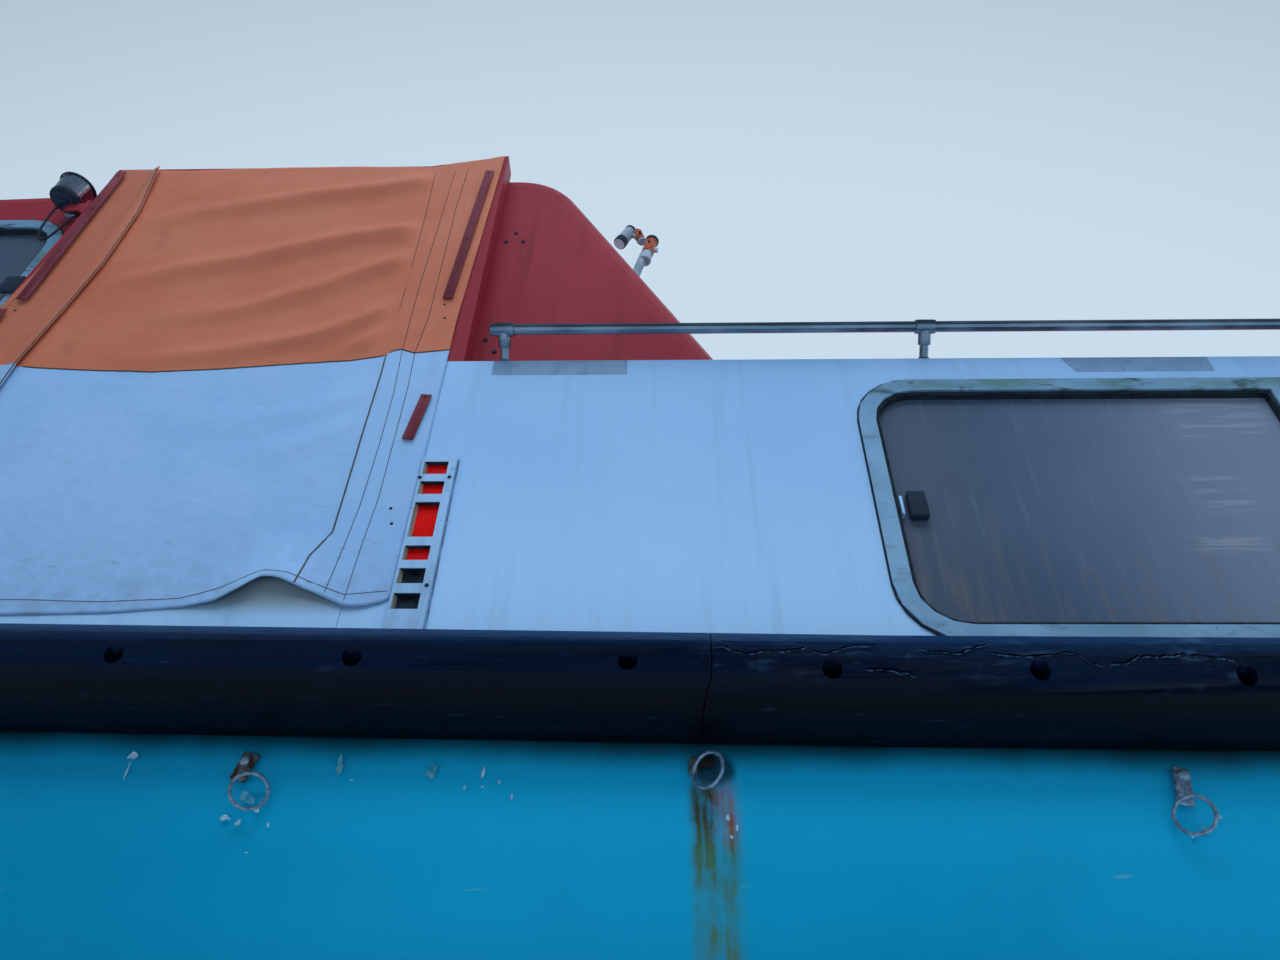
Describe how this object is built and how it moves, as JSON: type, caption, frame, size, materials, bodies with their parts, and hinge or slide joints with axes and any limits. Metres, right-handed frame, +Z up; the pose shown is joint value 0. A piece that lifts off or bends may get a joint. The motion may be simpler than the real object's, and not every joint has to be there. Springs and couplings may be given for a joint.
{
  "type": "semi-enclosed tender lifeboat",
  "caption": "Moulded tender lifeboat with a rubber belt, white cabins and a red wheelhouse whose side doors are closed by canvas curtains.",
  "frame": {"origin": "on the centreline at the waterline, halfway along the length", "axes": "+X to the bow, +Y to port, +Z up"},
  "size_m": [12.9, 3.6, 5.6843],
  "materials": {
    "hull_gelcoat": "weathered gelcoat",
    "belt_rubber": "extruded",
    "white_gelcoat": "weathered gelcoat",
    "red_gelcoat": "faded gelcoat",
    "window_alloy": "dull",
    "window_glass": "hazed",
    "curtain_canvas": "coated canvas",
    "deck_gelcoat": "satin",
    "stainless": "brushed",
    "grey_paint": "satin",
    "console_plastic": "textured",
    "seat_vinyl": "vinyl",
    "bronze": "cast"
  },
  "bodies": {
    "boat": {"hull": "hull_gelcoat", "belt_aft_starboard": "belt_rubber", "belt_aft_port": "belt_rubber", "belt_fore_starboard": "belt_rubber", "belt_fore_port": "belt_rubber", "fore_cabin": "white_gelcoat", "aft_cabin": "white_gelcoat", "side_starboard": "white_gelcoat", "side_port": "white_gelcoat", "step_strip_starboard": "white_gelcoat", "step_strip_port": "white_gelcoat", "fore_roof": "red_gelcoat", "aft_roof": "red_gelcoat", "canopy": "red_gelcoat", "door_surround_starboard": "red_gelcoat", "door_surround_port": "red_gelcoat", "fore_window_frame_starboard": "window_alloy", "fore_window_frame_port": "window_alloy", "quarter_window_frame_starboard": "window_alloy", "quarter_window_frame_port": "window_alloy", "aft_window_frame_starboard": "window_alloy", "aft_window_frame_port": "window_alloy", "helm_window_frame_starboard": "window_alloy", "helm_window_frame_port": "window_alloy", "windscreen_frame": "window_alloy", "fore_window_pane_starboard": "window_glass", "fore_window_pane_port": "window_glass", "quarter_window_pane_starboard": "window_glass", "quarter_window_pane_port": "window_glass", "aft_window_pane_starboard": "window_glass", "aft_window_pane_port": "window_glass", "helm_window_pane_starboard": "window_glass", "helm_window_pane_port": "window_glass", "windscreen_pane": "window_glass", "curtain_starboard": "curtain_canvas", "curtain_port": "curtain_canvas", "deck": "deck_gelcoat", "inner_moulding": "deck_gelcoat", "grab_rail_fore_starboard": "stainless", "grab_rail_fore_port": "stainless", "grab_rail_aft_starboard": "stainless", "grab_rail_aft_port": "stainless", "door_lamp_starboard": "stainless", "door_lamp_port": "stainless", "hook_post_fore": "stainless", "hook_post_aft": "stainless", "mast_foot": "grey_paint", "engine": "grey_paint", "console": "console_plastic", "helm_seat": "seat_vinyl"},
    "propeller": {"propeller": "bronze"},
    "rudder": {"rudder": "bronze"},
    "steering_wheel": {"steering_wheel": "stainless"},
    "fore_hatch": {"fore_hatch": "red_gelcoat"},
    "roof_hatch": {"roof_hatch": "red_gelcoat"},
    "aft_door": {"aft_door": "white_gelcoat"},
    "mast": {"mast": "grey_paint"},
    "hook_fore": {"hook_fore": "stainless"},
    "hook_aft": {"hook_aft": "stainless"}
  },
  "joints": [
    {"name": "propeller_spin", "type": "hinge", "parent": "boat", "child": "propeller", "pos_m": [-5.4, 0, -0.5], "axis": [1, 0, 0], "continuous": true},
    {"name": "helm_turn", "type": "hinge", "parent": "boat", "child": "steering_wheel", "pos_m": [0.15, -0.25, 1.24], "axis": [1, 0, 0], "range_deg": [-540, 540]},
    {"name": "rudder_turn", "type": "hinge", "parent": "boat", "child": "rudder", "pos_m": [-5.85, 0, -0.4], "axis": [0, 0, 1], "range_deg": [-35, 35]},
    {"name": "fore_hatch_hinge", "type": "hinge", "parent": "boat", "child": "fore_hatch", "pos_m": [3.02, 0, 1.8503], "axis": [0, -1, 0], "range_deg": [0, 110]},
    {"name": "roof_hatch_hinge", "type": "hinge", "parent": "boat", "child": "roof_hatch", "pos_m": [-0.67, 0.64, 2.7403], "axis": [0, 1, 0], "range_deg": [0, 110]},
    {"name": "aft_door_hinge", "type": "hinge", "parent": "boat", "child": "aft_door", "pos_m": [-5.24, 0.315, 1.3], "axis": [0, 0, -1], "range_deg": [0, 110]},
    {"name": "mast_fold", "type": "hinge", "parent": "boat", "child": "mast", "pos_m": [-0.01, 0, 2.79], "axis": [0, -1, 0], "range_deg": [0, 98]},
    {"name": "hook_fore_release", "type": "hinge", "parent": "boat", "child": "hook_fore", "pos_m": [5.32, 0, 1.18], "axis": [0, 1, 0], "range_deg": [0, 70]},
    {"name": "hook_aft_release", "type": "hinge", "parent": "boat", "child": "hook_aft", "pos_m": [-5.95, 0, 1.18], "axis": [0, -1, 0], "range_deg": [0, 70]}
  ],
  "couplings": [
    {"joint": "rudder_turn", "follows": "helm_turn", "ratio": 0.064815}
  ]
}
